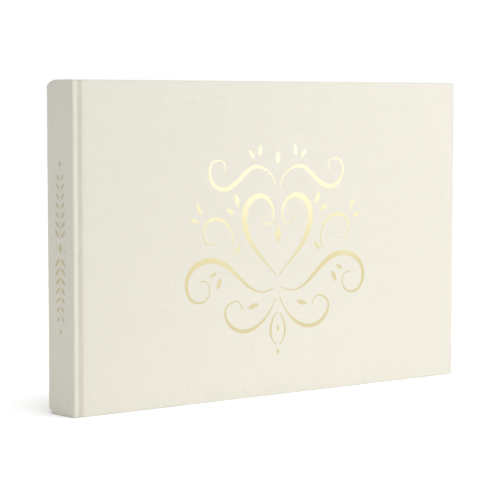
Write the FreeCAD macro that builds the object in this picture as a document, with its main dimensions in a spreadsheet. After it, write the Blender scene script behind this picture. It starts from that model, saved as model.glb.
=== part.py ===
import FreeCAD, Part
import math
import os
import re

import Sketcher

# A landscape wedding guest book: a sewn block of blank leaves in a hard case covered with ivory book cloth.
#
# The book stands on the tail edges of its case, closed. X runs from the spine to the fore edge, the front
# cover faces -Y and Z is up. The origin is under the middle of the book, on the surface it stands on.
#
# The case is three boards in one cloth: two covers, and a spine board that stands edge on between them,
# with a groove beside it in each cover. The block is signatures of folded sheets, sewn through their folds
# and held in the case by the mull and the endpapers. Every signature is made as its sewn fold, which stays
# at the spine, and its two halves of leaves, which bend away from it along one line beside the groove.

# The driving dimensions, in millimetres, apart from the counts. Each is a cell of the spreadsheet.
SIZES = {
    "cover_width": (238.0, "spine face to fore edge"),
    "cover_height": (152.0, "tail to head"),
    "board_thick": (2.5, "grey board of a cover"),
    "spine_board_thick": (2.2, "grey board of the spine"),
    "cloth_thick": (0.4, "book cloth with its paper backing"),
    "turn_in": (15.0, "cloth folded over on to the inside of a board"),
    "cover_corner": (1.5, "outer corner of a cover at the fore edge"),
    "spine_front_corner": (0.8, "corner of the spine beside the front cover"),
    "spine_back_corner": (2.6, "corner of the spine beside the back cover"),
    "cloth_round": (0.35, "cloth bent round a board's edge"),
    "groove_width": (4.8, "between the spine and a cover"),
    "square": (3.0, "case standing out past the block"),
    "signatures": (8, "count of signatures"),
    "half_leaves": (4, "count of leaves in half a signature"),
    "leaf_thick": (0.2, "one leaf"),
    "endpaper_thick": (0.2, "one leaf of an endpaper"),
    "rest_gap": (0.05, "air between two pieces that move apart"),
    "gutter": (7.0, "from the fold to the line where the leaves bend"),
    "thread_diameter": (0.4, "sewing thread"),
    "thread_room": (0.05, "air round the thread in a fold"),
    "stitch_margin": (8.0, "from the head and the tail of the block to the end of the sewing"),
    "stitch_gap": (6.0, "between two stitches of a fold"),
    "stitches": (4, "count of stitches in a fold"),
    "hollow": (1.0, "air between the spine board and the block"),
    "lining_thick": (0.2, "kraft paper on the spine of the block"),
    "lining_short": (2.0, "lining that stops short of the block's head and tail"),
    "mull_thick": (0.3, "gauze that holds the block in the case"),
    "mull_short": (10.0, "mull that stops short of the block's head and tail"),
    "mull_flange": (22.0, "mull glued to the inside of a cover"),
    "band_bead": (1.4, "diameter of a headband's bead"),
    "band_tab": (8.0, "headband glued to the spine of the block"),
    "foil_thick": (0.03, "stamped foil"),
    "front_ornament_width": (114.0, "foil ornament on the front cover"),
    "spine_ornament_length": (79.0, "foil ornament on the spine"),
    "spine_ornament_width": (9.0, "foil ornament across the spine"),
}

# Places worked out from the sizes. Thicknesses build up from the middle plane of the book, outwards.
PLACES = {
    "leaf_pitch": "half_leaves * leaf_thick + rest_gap",
    "fold_pitch": "2 * leaf_pitch",
    "fold_thick": "fold_pitch - rest_gap",
    "half_block": "signatures * leaf_pitch - rest_gap / 2",
    "flyleaf_inner": "half_block + rest_gap",
    "flyleaf_outer": "flyleaf_inner + endpaper_thick",
    "endpaper_outer": "flyleaf_outer + endpaper_thick",
    "mull_outer": "endpaper_outer + mull_thick",
    "groove_floor": "mull_outer + cloth_thick",
    "cover_inner": "flyleaf_outer + rest_gap",
    "turn_in_face": "cover_inner + endpaper_thick",
    "board_inner": "turn_in_face + cloth_thick",
    "board_outer": "board_inner + board_thick",
    "cover_outer": "board_outer + cloth_thick",
    "spine_face": "-cover_width / 2",
    "spine_board_x": "spine_face + cloth_thick",
    "ridge_end": "spine_board_x + spine_board_thick + cloth_thick",
    "lining_x": "spine_board_x + spine_board_thick + hollow",
    "mull_x": "lining_x + lining_thick",
    "fold_x": "mull_x + mull_thick",
    "bend_x": "fold_x + gutter",
    "cover_left": "ridge_end + groove_width",
    "groove_end": "cover_left - rest_gap",
    "board_left": "cover_left + cloth_thick",
    "fore_edge": "cover_width / 2",
    "board_width": "fore_edge - cloth_thick - board_left",
    "board_height": "cover_height - 2 * cloth_thick",
    "board_corner": "cover_corner - cloth_thick",
    "block_fore": "fore_edge - square",
    "block_height": "cover_height - 2 * square",
    "mull_height": "block_height - 2 * mull_short",
    "spine_wide": "2 * cover_outer",
    "lining_height": "block_height - 2 * lining_short",
}

NAME = re.compile(r"[a-z][a-z_]+")
FRONT, BACK = -1, 1
PARTS = "parts"
TOUCHING = 1e-6
START_WIDE, START_TALL, START_RADIUS = 20.0, 16.0, 1.0  # a sketch's first sizes, before its formulas

doc = FreeCAD.newDocument("GuestBook")
sheet = doc.addObject("Spreadsheet::Sheet", "Sizes")
made = []


def fill_sheet():
    """Writes each driving dimension to its own row, with its alias."""
    for row, (alias, (size, note)) in enumerate(SIZES.items(), start=1):
        sheet.set(f"A{row}", alias)
        sheet.set(f"B{row}", str(size))
        sheet.set(f"C{row}", note)
        sheet.setAlias(f"B{row}", alias)
    doc.recompute()


def cells(text):
    """The text of a formula with each place written out and each size as its cell."""
    def written(match):
        name = match.group()
        return f"({cells(PLACES[name])})" if name in PLACES else f"Sizes.{name}"
    return NAME.sub(written, text)


def size(alias):
    """A driving dimension as a number, read from the sheet."""
    return float(sheet.get(alias))


def count(alias):
    return int(size(alias))


# --- building with sketches -----------------------------------------------------------------------


def plane(body, role):
    """The origin plane of a body with that role."""
    return next(f for f in body.Origin.OriginFeatures if f.Role == role)


def new_body(label, x="0", y="0", z="0"):
    """An empty body at a place given by formulas. It is written to a file of its own at the end."""
    body = doc.addObject("PartDesign::Body", label)
    body.Label = label
    for axis, formula in zip("xyz", (x, y, z)):
        body.setExpression(f"Placement.Base.{axis}", cells(formula))
    made.append(body)
    return body


def new_sketch(body, name, role, along, up, out):
    """A sketch on an origin plane of its body, moved along, up and out of the plane by formulas."""
    sketch = body.newObject("Sketcher::SketchObject", name)
    sketch.AttachmentSupport = [(plane(body, role), "")]
    sketch.MapMode = "FlatFace"
    for axis, formula in zip("xyz", (along, up, out)):
        sketch.setExpression(f"AttachmentOffset.Base.{axis}", cells(formula))
    return sketch


def bind(sketch, constraint, formula):
    """Adds a constraint whose value is a formula."""
    index = sketch.addConstraint(constraint)
    sketch.setExpression(f"Constraints[{index}]", cells(formula))


def draw_rectangle(sketch, wide, tall, near_corner=None, far_corner=None):
    """A rectangle from the sketch's origin. near_corner rounds its corners at 0 and far_corner at wide."""
    w, h, r = START_WIDE, START_TALL, START_RADIUS
    near = r if near_corner else 0.0
    far = r if far_corner else 0.0
    at = FreeCAD.Vector
    ends = [
        (at(near, 0), at(w - far, 0)),
        (at(w, far), at(w, h - far)),
        (at(w - far, h), at(near, h)),
        (at(0, h - near), at(0, near)),
    ]
    for start, end in ends:
        sketch.addGeometry(Part.LineSegment(start, end), False)
    # the corner after each line: its radius, where its arc is centred and the angle that the arc starts at
    corners = [
        (far_corner, at(w - r, r), -90),
        (far_corner, at(w - r, h - r), 0),
        (near_corner, at(r, h - r), 90),
        (near_corner, at(r, r), 180),
    ]
    first_arc = {}
    for line, (radius, centre, turn) in enumerate(corners):
        following = (line + 1) % 4
        if radius is None:
            sketch.addConstraint(Sketcher.Constraint("Coincident", line, 2, following, 1))
            continue
        circle = Part.Circle(centre, at(0, 0, 1), r)
        arc = Part.ArcOfCircle(circle, math.radians(turn), math.radians(turn + 90))
        arc_id = sketch.addGeometry(arc, False)
        sketch.addConstraint(Sketcher.Constraint("Tangent", line, 2, arc_id, 1))
        sketch.addConstraint(Sketcher.Constraint("Tangent", arc_id, 2, following, 1))
        if radius in first_arc:
            sketch.addConstraint(Sketcher.Constraint("Equal", first_arc[radius], arc_id))
        else:
            first_arc[radius] = arc_id
            bind(sketch, Sketcher.Constraint("Radius", arc_id, r), radius)
    for line, way in enumerate(("Horizontal", "Vertical", "Horizontal", "Vertical")):
        sketch.addConstraint(Sketcher.Constraint(way, line))
    sketch.addConstraint(Sketcher.Constraint("PointOnObject", 0, 1, -1))
    sketch.addConstraint(Sketcher.Constraint("PointOnObject", 3, 1, -2))
    bind(sketch, Sketcher.Constraint("DistanceX", 3, 1, 1, 1, w), wide)
    bind(sketch, Sketcher.Constraint("DistanceY", 0, 1, 2, 1, h), tall)


def extrude(body, kind, sketch, depth, towards_plus):
    """A Pad or a Pocket of a sketch. towards_plus is whether it grows along the axis across the sketch."""
    feature = body.newObject(f"PartDesign::{kind}", f"{sketch.Name}_{kind.lower()}")
    feature.Profile = sketch
    feature.setExpression("Length", cells(depth))
    # The normal of the XZ plane is -Y. A pad grows along the normal and a pocket against it.
    normal_is_plus = plane_role(sketch) != "XZ_Plane"
    grows_plus = normal_is_plus if kind == "Pad" else not normal_is_plus
    feature.Reversed = grows_plus != towards_plus
    sketch.Visibility = False
    return feature


def plane_role(sketch):
    return sketch.AttachmentSupport[0][0].Role


def layer(body, name, kind, x, z, wide, tall, inner, depth, side, corner=None):
    """A sheet parallel to the covers, from inner outwards by depth, on the front or the back side."""
    out = inner if side == FRONT else f"-({inner})"
    sketch = new_sketch(body, name, "XZ_Plane", x, z, out)
    draw_rectangle(sketch, wide, tall, far_corner=corner)
    return extrude(body, kind, sketch, depth, towards_plus=side == BACK)


def side_name(side):
    return "front" if side == FRONT else "back"


def round_edges(body, name, radius, chosen):
    """Rounds the edges of the body's last feature that the test chooses."""
    doc.recompute()
    tip = body.Tip
    names = [f"Edge{i}" for i, edge in enumerate(tip.Shape.Edges, start=1) if chosen(edge)]
    if not names:
        raise ValueError(f"{body.Label}: no edge to round")
    fillet = body.newObject("PartDesign::Fillet", f"{body.Name}_{name}")
    fillet.Base = (tip, names)
    fillet.setExpression("Radius", cells(radius))
    return fillet


# --- the case -------------------------------------------------------------------------------------


def cover_board(side):
    """A cover's grey board. Its corners at the fore edge are rounded, as the cloth there is."""
    body = new_body(f"{side_name(side)}_board", x="board_left", z="cloth_thick")
    layer(body, f"{body.Name}_outline", "Pad", "0", "0", "board_width", "board_height",
          "board_inner", "board_thick", side, corner="board_corner")


def cover_cloth(side):
    """The cloth round a cover's board: its outside, its four edges, and the turn-ins folded inside."""
    body = new_body(f"{side_name(side)}_cover_cloth", x="cover_left")
    layer(body, f"{body.Name}_outside", "Pad", "0", "0", "fore_edge - cover_left", "cover_height",
          "turn_in_face", "cover_outer - turn_in_face", side, corner="cover_corner")
    layer(body, f"{body.Name}_board_room", "Pocket", "cloth_thick", "cloth_thick", "board_width",
          "board_height", "board_inner", "board_thick", side, corner="board_corner")
    layer(body, f"{body.Name}_window", "Pocket", "cloth_thick", "turn_in",
          "fore_edge - cover_left - cloth_thick - turn_in", "cover_height - 2 * turn_in",
          "turn_in_face", "cloth_thick", side)
    doc.recompute()
    box = body.Tip.Shape.BoundBox
    outside = box.YMin if side == FRONT else box.YMax

    def on_outside(edge):
        low, high = edge.BoundBox.YMin, edge.BoundBox.YMax
        return abs(low - outside) < TOUCHING and abs(high - outside) < TOUCHING

    round_edges(body, "edge", "cloth_round", on_outside)


def spine_rectangle(body, name, kind, x, depth, inset):
    """A sheet parallel to the spine board, inset from its outline. It grows towards the fore edge."""
    edge = f"cover_outer - {inset}"
    sketch = new_sketch(body, name, "YZ_Plane", f"-({edge})", inset, x)
    draw_rectangle(sketch, f"2 * ({edge})", f"cover_height - 2 * {inset}",
                   near_corner=f"spine_front_corner - {inset}", far_corner=f"spine_back_corner - {inset}")
    return extrude(body, kind, sketch, depth, towards_plus=True)


def spine_board():
    body = new_body("spine_board")
    spine_rectangle(body, "spine_board_outline", "Pad", "spine_board_x", "spine_board_thick",
                    "cloth_thick")


def spine_cloth():
    """The cloth round the spine board: its outside, the ridges beside the grooves, and the turn-ins."""
    body = new_body("spine_cloth")
    spine_rectangle(body, "spine_cloth_outside", "Pad", "spine_face", "ridge_end - spine_face", "0")
    spine_rectangle(body, "spine_cloth_board_room", "Pocket", "spine_board_x", "spine_board_thick",
                    "cloth_thick")
    window = new_sketch(body, "spine_cloth_window", "YZ_Plane", "-(cover_outer - cloth_thick)", "turn_in",
                        "spine_board_x + spine_board_thick")
    draw_rectangle(window, "2 * (cover_outer - cloth_thick)", "cover_height - 2 * turn_in")
    extrude(body, "Pocket", window, "cloth_thick", towards_plus=True)
    doc.recompute()
    spine_plane = body.Tip.Shape.BoundBox.XMin
    round_edges(body, "edge", "cloth_round", lambda edge: abs(edge.BoundBox.XMax - spine_plane) < TOUCHING)


def joint_cloth(side):
    """The cloth in a groove: down beside the spine's ridge and along the groove's floor to the cover."""
    body = new_body(f"{side_name(side)}_joint_cloth", x="ridge_end")
    layer(body, f"{body.Name}_outside", "Pad", "0", "0", "groove_end - ridge_end", "cover_height",
          "mull_outer", "cover_outer - mull_outer", side)
    layer(body, f"{body.Name}_groove", "Pocket", "cloth_thick", "0", "groove_end - ridge_end",
          "cover_height", "groove_floor", "cover_outer - groove_floor", side)


# --- endpapers, mull and linings ------------------------------------------------------------------


def pastedown(side):
    """The endpaper leaf glued inside a cover. Its rim lies on the turn-ins and its middle on the board."""
    body = new_body(f"{side_name(side)}_pastedown", x="board_left", z="square")
    layer(body, f"{body.Name}_rim", "Pad", "0", "0", "block_fore - board_left", "block_height",
          "cover_inner", "endpaper_thick", side)
    plateau = "fore_edge - turn_in - board_left - mull_flange"
    layer(body, f"{body.Name}_plateau", "Pad", "mull_flange", "turn_in - square", plateau,
          "cover_height - 2 * turn_in", "turn_in_face", "cloth_thick", side)
    layer(body, f"{body.Name}_dip", "Pocket", "mull_flange + endpaper_thick",
          "turn_in - square + endpaper_thick", f"{plateau} - 2 * endpaper_thick",
          "cover_height - 2 * turn_in - 2 * endpaper_thick", "cover_inner", "cloth_thick", side)


def flyleaf(side):
    """The free leaf of an endpaper, from the bend line to the fore edge."""
    body = new_body(f"{side_name(side)}_flyleaf", x="bend_x", z="square")
    layer(body, f"{body.Name}_leaf", "Pad", "0", "0", "block_fore - bend_x", "block_height",
          "flyleaf_inner", "endpaper_thick", side)


def endpaper_fold(side):
    """The folded edge of an endpaper: one half reaches the flyleaf's bend line and the other the cover."""
    body = new_body(f"{side_name(side)}_endpaper_fold", x="fold_x", z="square")
    layer(body, f"{body.Name}_leaf_half", "Pad", "0", "0", "gutter - rest_gap", "block_height",
          "flyleaf_inner", "endpaper_thick", side)
    layer(body, f"{body.Name}_cover_half", "Pad", "0", "0", "groove_end - fold_x", "block_height",
          "flyleaf_outer", "endpaper_thick", side)


def mull():
    """The gauze round the spine of the block, as far as the covers on both sides."""
    body = new_body("mull", x="mull_x", z="square + mull_short")
    outside = new_sketch(body, "mull_outside", "XY_Plane", "0", "-(mull_outer)", "0")
    draw_rectangle(outside, "groove_end - mull_x", "2 * mull_outer")
    extrude(body, "Pad", outside, "mull_height", towards_plus=True)
    inside = new_sketch(body, "mull_inside", "XY_Plane", "mull_thick", "-(endpaper_outer)", "mull_height")
    draw_rectangle(inside, "groove_end - mull_x", "2 * endpaper_outer")
    extrude(body, "Pocket", inside, "mull_height", towards_plus=False)


def mull_flange(side):
    """The mull's edge, glued to the inside of a cover's board under the pastedown."""
    body = new_body(f"{side_name(side)}_mull_flange", x="board_left", z="square + mull_short")
    layer(body, f"{body.Name}_strip", "Pad", "0", "turn_in - square - mull_short", "mull_flange - rest_gap",
          "cover_height - 2 * turn_in", "board_inner - mull_thick", "mull_thick", side)


def spine_lining():
    """Kraft paper glued over the mull on the spine of the block."""
    body = new_body("spine_lining", x="lining_x", z="square + lining_short")
    sketch = new_sketch(body, "spine_lining_outline", "YZ_Plane", "-(half_block)", "0", "0")
    draw_rectangle(sketch, "2 * half_block", "lining_height")
    extrude(body, "Pad", sketch, "lining_thick", towards_plus=True)


def band(label, edge, way):
    """A headband: a bead across the block's end, with a tab glued to the spine beside the mull."""
    bead = doc.addObject("Part::Cylinder", f"{label}_bead")
    bead.setExpression("Radius", cells("band_bead / 2"))
    bead.setExpression("Height", cells("2 * half_block"))
    bead.Placement.Rotation = FreeCAD.Rotation(FreeCAD.Vector(1, 0, 0), -90)
    bead.setExpression("Placement.Base.x", cells("mull_x + band_bead / 2"))
    bead.setExpression("Placement.Base.y", cells("-(half_block)"))
    bead.setExpression("Placement.Base.z", cells(f"{edge} + {way} * band_bead / 2"))
    tab = doc.addObject("Part::Box", f"{label}_tab")
    tab.setExpression("Length", cells("mull_thick"))
    tab.setExpression("Width", cells("2 * half_block"))
    tab.setExpression("Height", cells("band_tab + band_bead / 2"))
    low = "-(band_tab)" if way > 0 else "-(band_bead) / 2"
    tab.setExpression("Placement.Base.x", cells("mull_x"))
    tab.setExpression("Placement.Base.y", cells("-(half_block)"))
    tab.setExpression("Placement.Base.z", cells(f"{edge} + {low}"))
    whole = doc.addObject("Part::Fuse", label)
    whole.Base, whole.Tool = bead, tab
    whole.Label = label
    made.append(whole)


# --- the block ------------------------------------------------------------------------------------


def draw_fold(sketch):
    """The section of a signature's fold: round at the spine, straight to its end, with the thread's hole."""
    long, r = START_WIDE, START_RADIUS
    at = FreeCAD.Vector
    sketch.addGeometry(Part.LineSegment(at(0, -r), at(long, -r)), False)
    sketch.addGeometry(Part.LineSegment(at(long, -r), at(long, r)), False)
    sketch.addGeometry(Part.LineSegment(at(long, r), at(0, r)), False)
    circle = Part.Circle(at(0, 0), at(0, 0, 1), r)
    sketch.addGeometry(Part.ArcOfCircle(circle, math.radians(90), math.radians(270)), False)
    hole = sketch.addGeometry(Part.Circle(at(0, 0), at(0, 0, 1), r / 2), False)
    for line in (0, 1):
        sketch.addConstraint(Sketcher.Constraint("Coincident", line, 2, line + 1, 1))
    sketch.addConstraint(Sketcher.Constraint("Tangent", 2, 2, 3, 1))
    sketch.addConstraint(Sketcher.Constraint("Tangent", 3, 2, 0, 1))
    sketch.addConstraint(Sketcher.Constraint("Horizontal", 0))
    sketch.addConstraint(Sketcher.Constraint("Vertical", 1))
    sketch.addConstraint(Sketcher.Constraint("Horizontal", 2))
    sketch.addConstraint(Sketcher.Constraint("Coincident", 3, 3, -1, 1))
    sketch.addConstraint(Sketcher.Constraint("Coincident", hole, 3, -1, 1))
    bind(sketch, Sketcher.Constraint("Radius", 3, r), "fold_thick / 2")
    bind(sketch, Sketcher.Constraint("Radius", hole, r / 2), "thread_diameter / 2 + thread_room")
    bind(sketch, Sketcher.Constraint("DistanceX", -1, 1, 1, 1, long), "gutter - rest_gap - fold_thick / 2")


def signature_fold(number):
    """The sewn fold of a signature, with its round back to the spine."""
    middle = f"-(half_block) + fold_thick / 2 + {number - 1} * fold_pitch"
    body = new_body(f"signature_{number}_fold", x="fold_x + fold_thick / 2", y=middle, z="square")
    sketch = new_sketch(body, f"{body.Name}_section", "XY_Plane", "0", "0", "0")
    draw_fold(sketch)
    extrude(body, "Pad", sketch, "block_height", towards_plus=True)
    return body


def signature_leaves(number, half):
    """Half the leaves of a signature: 0 is the half nearer to the front cover and 1 the other."""
    name = ("front", "back")[half]
    nearest = f"-(half_block) + {2 * (number - 1) + half} * leaf_pitch"
    body = new_body(f"signature_{number}_{name}_leaves", x="bend_x", y=nearest, z="square")
    layer(body, f"{body.Name}_leaves", "Pad", "0", "0", "block_fore - bend_x", "block_height",
          "0", "half_leaves * leaf_thick", BACK)


def write_shape(label, shape):
    """A sub-part whose shape is made here from the sheet's sizes and its neighbours' places."""
    feature = doc.addObject("Part::Feature", label)
    feature.Label = label
    feature.Shape = shape
    made.append(feature)


def sewing_thread(folds):
    """The stitches inside every signature's fold, each a straight run of thread up the hole there."""
    radius = size("thread_diameter") / 2
    runs = count("stitches")
    sewn = folds[0].Shape.BoundBox.ZLength - 2 * size("stitch_margin")
    pitch = (sewn + size("stitch_gap")) / runs
    stitches = []
    for fold in folds:
        hole = fold.Placement.Base
        for run in range(runs):
            start = hole + FreeCAD.Vector(0, 0, size("stitch_margin") + run * pitch)
            stitches.append(Part.makeCylinder(radius, pitch - size("stitch_gap"), start))
    write_shape("sewing_thread", Part.makeCompound(stitches))


# --- the foil ornaments ---------------------------------------------------------------------------

# One half of the front ornament, as strokes of a pen with a soft nib. Each stroke is the points that its
# line goes through, from the middle of the ornament outwards, and its greatest breadth. Both are shares of
# the ornament's width.
FRONT_STROKES = [
    # the heart: up its side, over the lobe and curled in
    (((0.008, -0.155), (0.104, -0.062), (0.176, 0.050), (0.166, 0.150), (0.088, 0.184), (0.027, 0.126),
      (0.040, 0.066), (0.078, 0.074), (0.078, 0.102)), 0.034),
    # the swash over the heart
    (((0.012, 0.222), (0.052, 0.286), (0.134, 0.306), (0.216, 0.250), (0.296, 0.216), (0.362, 0.262),
      (0.346, 0.332), (0.290, 0.326), (0.296, 0.284)), 0.023),
    # the long arm beside and under the heart
    (((0.020, -0.206), (0.112, -0.218), (0.214, -0.152), (0.316, -0.084), (0.430, -0.090), (0.488, -0.164),
      (0.452, -0.242), (0.378, -0.230), (0.374, -0.172), (0.412, -0.162)), 0.028),
    # the lower scroll
    (((0.014, -0.252), (0.072, -0.336), (0.166, -0.382), (0.258, -0.354), (0.284, -0.286), (0.230, -0.254),
      (0.194, -0.292)), 0.020),
    # the pendant under the middle
    (((0.006, -0.312), (0.036, -0.362), (0.038, -0.408), (0.006, -0.452)), 0.013),
    # the side curl above the long arm
    (((0.252, -0.048), (0.250, 0.034), (0.314, 0.092), (0.386, 0.076), (0.396, 0.010),
      (0.344, -0.008)), 0.017),
]
# Leaves of the front ornament: its stalk's place, the way it points in degrees, its length and its breadth.
FRONT_LEAVES = [
    ((0.214, 0.140), 74, 0.062, 0.022),
    ((0.236, 0.112), 30, 0.050, 0.019),
    ((0.204, -0.020), -50, 0.048, 0.018),
    ((0.412, 0.112), 66, 0.056, 0.019),
    ((0.426, 0.084), 16, 0.046, 0.017),
    ((0.306, -0.150), -64, 0.056, 0.020),
    ((0.330, -0.128), -24, 0.042, 0.016),
    ((0.106, -0.272), -14, 0.060, 0.020),
    ((0.100, 0.350), 96, 0.052, 0.018),
    ((0.128, 0.344), 48, 0.046, 0.017),
]
# Lozenges on the ornament's middle line: height above its middle, half height and half width.
FRONT_LOZENGES = [
    (0.345, 0.030, 0.016),
    (0.020, 0.040, 0.021),
    (-0.381, 0.018, 0.008),
    (-0.482, 0.016, 0.009),
]
STROKE_STEPS = 36
HAIRLINE = 0.0046  # the least breadth of a stroke, as a share of the ornament's width
SPINE_PAIRS = 7  # pairs of leaves in each half of the spine's ornament


def nib(share, broad):
    """Breadth of a stroke at a share of its length: a hairline at both ends that swells between them."""
    swell = math.sin(math.pi * share) ** 2
    return HAIRLINE + (broad - HAIRLINE) * swell * (1.0 - 0.35 * share)


def outline_face(left, right):
    """A flat face between two lines of points that share their ends' directions."""
    sides = []
    for points in (left, right[::-1]):
        curve = Part.BSplineCurve()
        curve.interpolate(points)
        sides.append(curve.toShape())
    ends = [Part.makeLine(left[-1], right[-1]), Part.makeLine(right[0], left[0])]
    return Part.Face(Part.Wire(Part.sortEdges([sides[0], ends[0], sides[1], ends[1]])[0]))


def stroke_face(points, broad, scale, mirror):
    """The face of one stroke, in the plane of X and Y."""
    line = Part.BSplineCurve()
    line.interpolate([FreeCAD.Vector(mirror * x * scale, y * scale, 0) for x, y in points])
    first, last = line.FirstParameter, line.LastParameter
    left, right = [], []
    for step in range(STROKE_STEPS + 1):
        share = step / STROKE_STEPS
        at = first + (last - first) * share
        along = line.tangent(at)[0]
        across = FreeCAD.Vector(-along.y, along.x, 0) * (nib(share, broad) * scale / 2)
        left.append(line.value(at) + across)
        right.append(line.value(at) - across)
    return outline_face(left, right)


def leaf_face(stalk, angle, long, broad, scale, mirror):
    """A pointed leaf: two arcs from its stalk to its tip."""
    turn = math.radians(angle)
    along = FreeCAD.Vector(mirror * math.cos(turn), math.sin(turn), 0)
    across = FreeCAD.Vector(-along.y, along.x, 0)
    start = FreeCAD.Vector(mirror * stalk[0], stalk[1], 0) * scale
    tip = start + along * (long * scale)
    belly = start + along * (0.45 * long * scale)
    arcs = [
        Part.Arc(start, belly + across * (way * broad * scale / 2), tip).toShape() for way in (1, -1)
    ]
    return Part.Face(Part.Wire(Part.sortEdges(arcs)[0]))


def polygon_face(points):
    corners = [FreeCAD.Vector(x, y, 0) for x, y in points]
    return Part.Face(Part.makePolygon(corners + corners[:1]))


def lozenge_face(middle_x, middle_y, half_tall, half_wide):
    return polygon_face([
        (middle_x - half_wide, middle_y), (middle_x, middle_y - half_tall),
        (middle_x + half_wide, middle_y), (middle_x, middle_y + half_tall),
    ])


def front_faces():
    """The front ornament's faces, about its own middle."""
    scale = size("front_ornament_width")
    faces = []
    for mirror in (1, -1):
        faces += [stroke_face(points, broad, scale, mirror) for points, broad in FRONT_STROKES]
        faces += [leaf_face(*leaf, scale, mirror) for leaf in FRONT_LEAVES]
    faces += [lozenge_face(0, y * scale, tall * scale, wide * scale) for y, tall, wide in FRONT_LOZENGES]
    return faces


def spine_faces():
    """The spine's ornament: a lozenge between two sprigs, each a thin stem with its leaves and a bud."""
    half_long = size("spine_ornament_length") / 2
    half_wide = size("spine_ornament_width") / 2
    pitch = half_long / (SPINE_PAIRS + 2)
    stem = 0.035 * half_wide
    clear = 0.18 * half_wide  # from the middle line to a leaf's stalk
    faces = [lozenge_face(0, 0, 0.62 * pitch, 0.40 * half_wide)]
    for way in (1, -1):
        dot = 0.13 * pitch
        for mirror in (1, -1):
            faces.append(lozenge_face(mirror * 0.72 * half_wide, way * 0.34 * pitch, dot, dot))
        faces.append(lozenge_face(0, way * (half_long - 0.35 * pitch), 0.35 * pitch, 0.20 * half_wide))
        low, high = (0.95 * pitch, half_long - 0.9 * pitch)
        faces.append(polygon_face([(-stem, way * low), (stem, way * low), (0, way * high)]))
        for pair in range(SPINE_PAIRS):
            share = pair / SPINE_PAIRS
            up = way * (1.05 + pair) * pitch
            long = (1.0 - 0.45 * share) * pitch * 1.15
            for mirror in (1, -1):
                faces.append(leaf_face((clear, up), way * 50, long, 0.34 * long, 1.0, mirror))
    return faces


def foil(label, faces, turned, place):
    """Thin solids of foil on a face of the case. They stand off it along the turned Z of the ornament."""
    solids = [face.extrude(FreeCAD.Vector(0, 0, size("foil_thick"))) for face in faces]
    write_shape(label, Part.makeCompound(solids))
    feature = made[-1]
    feature.Placement.Rotation = turned
    for axis, formula in zip("xyz", place):
        feature.setExpression(f"Placement.Base.{axis}", cells(formula))


def foils():
    """Both ornaments: one in the middle of the book's front, and one up the middle of its spine."""
    upright = FreeCAD.Rotation(FreeCAD.Vector(1, 0, 0), 90)
    foil("front_foil_ornament", front_faces(), upright, ("0", "-(cover_outer)", "cover_height / 2"))
    to_left = FreeCAD.Rotation(FreeCAD.Vector(0, 0, 1), -90) * upright
    foil("spine_foil_ornament", spine_faces(), to_left, ("spine_face", "0", "cover_height / 2"))


# --- the whole book -------------------------------------------------------------------------------


def check(everything):
    """Stops the build if an object failed, a sketch is loose, or a sub-part isn't valid closed solids."""
    failed = [o.Label for o in doc.Objects if {"Invalid", "Error"} & set(o.State)]
    loose = [o.Label for o in doc.findObjects("Sketcher::SketchObject") if not o.FullyConstrained]
    bad = [
        o.Label for o in everything
        if o.Shape.isNull() or not o.Shape.isValid() or not o.Shape.Solids
        or any(s.Volume <= 0 or not s.isClosed() for s in o.Shape.Solids)
    ]
    if failed or loose or bad:
        raise RuntimeError(f"failed objects {failed}, loose sketches {loose}, bad shapes {bad}")


def main():
    fill_sheet()
    spine_cloth()
    spine_board()
    for side in (FRONT, BACK):
        cover_cloth(side)
        cover_board(side)
        joint_cloth(side)
        pastedown(side)
        mull_flange(side)
        endpaper_fold(side)
        flyleaf(side)
    mull()
    spine_lining()
    band("headband", "cover_height - square", 1)
    band("tailband", "square", -1)
    folds = [signature_fold(n) for n in range(1, count("signatures") + 1)]
    for number in range(1, count("signatures") + 1):
        for half in (0, 1):
            signature_leaves(number, half)
    doc.recompute()
    sewing_thread(folds)
    foils()
    doc.recompute()
    check(made)
    os.makedirs(PARTS, exist_ok=True)
    for sub_part in made:
        sub_part.Shape.exportStep(os.path.join(PARTS, f"{sub_part.Label}.step"))
    box = Part.makeCompound([o.Shape for o in made]).optimalBoundingBox(False)
    print(f"{len(made)} sub-parts, {box.XLength:.2f} x {box.YLength:.2f} x {box.ZLength:.2f} mm")


main()
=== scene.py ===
import math
import random

import bmesh
import bpy
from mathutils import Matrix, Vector


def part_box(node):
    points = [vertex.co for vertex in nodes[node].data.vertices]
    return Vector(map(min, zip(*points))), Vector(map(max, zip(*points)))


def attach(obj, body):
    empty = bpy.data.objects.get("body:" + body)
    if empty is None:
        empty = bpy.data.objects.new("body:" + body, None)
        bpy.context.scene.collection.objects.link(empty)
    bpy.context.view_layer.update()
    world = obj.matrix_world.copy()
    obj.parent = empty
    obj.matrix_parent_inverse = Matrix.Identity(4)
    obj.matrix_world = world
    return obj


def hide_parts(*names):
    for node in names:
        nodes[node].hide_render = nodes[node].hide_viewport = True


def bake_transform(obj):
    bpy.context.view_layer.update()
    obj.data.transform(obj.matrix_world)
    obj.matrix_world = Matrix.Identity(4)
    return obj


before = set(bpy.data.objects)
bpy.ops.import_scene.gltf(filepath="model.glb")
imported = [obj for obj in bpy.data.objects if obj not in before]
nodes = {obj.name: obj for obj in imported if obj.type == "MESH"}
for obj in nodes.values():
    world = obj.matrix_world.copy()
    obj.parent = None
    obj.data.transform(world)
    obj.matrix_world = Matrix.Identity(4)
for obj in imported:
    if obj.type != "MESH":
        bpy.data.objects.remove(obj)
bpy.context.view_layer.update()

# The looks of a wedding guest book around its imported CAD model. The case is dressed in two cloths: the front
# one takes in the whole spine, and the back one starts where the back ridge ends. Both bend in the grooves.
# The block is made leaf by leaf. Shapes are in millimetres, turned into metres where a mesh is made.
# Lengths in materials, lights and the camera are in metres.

MM = 0.001

FRONT, BACK = -1, 1
SIDE_NAMES = {FRONT: "front", BACK: "back"}


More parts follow.
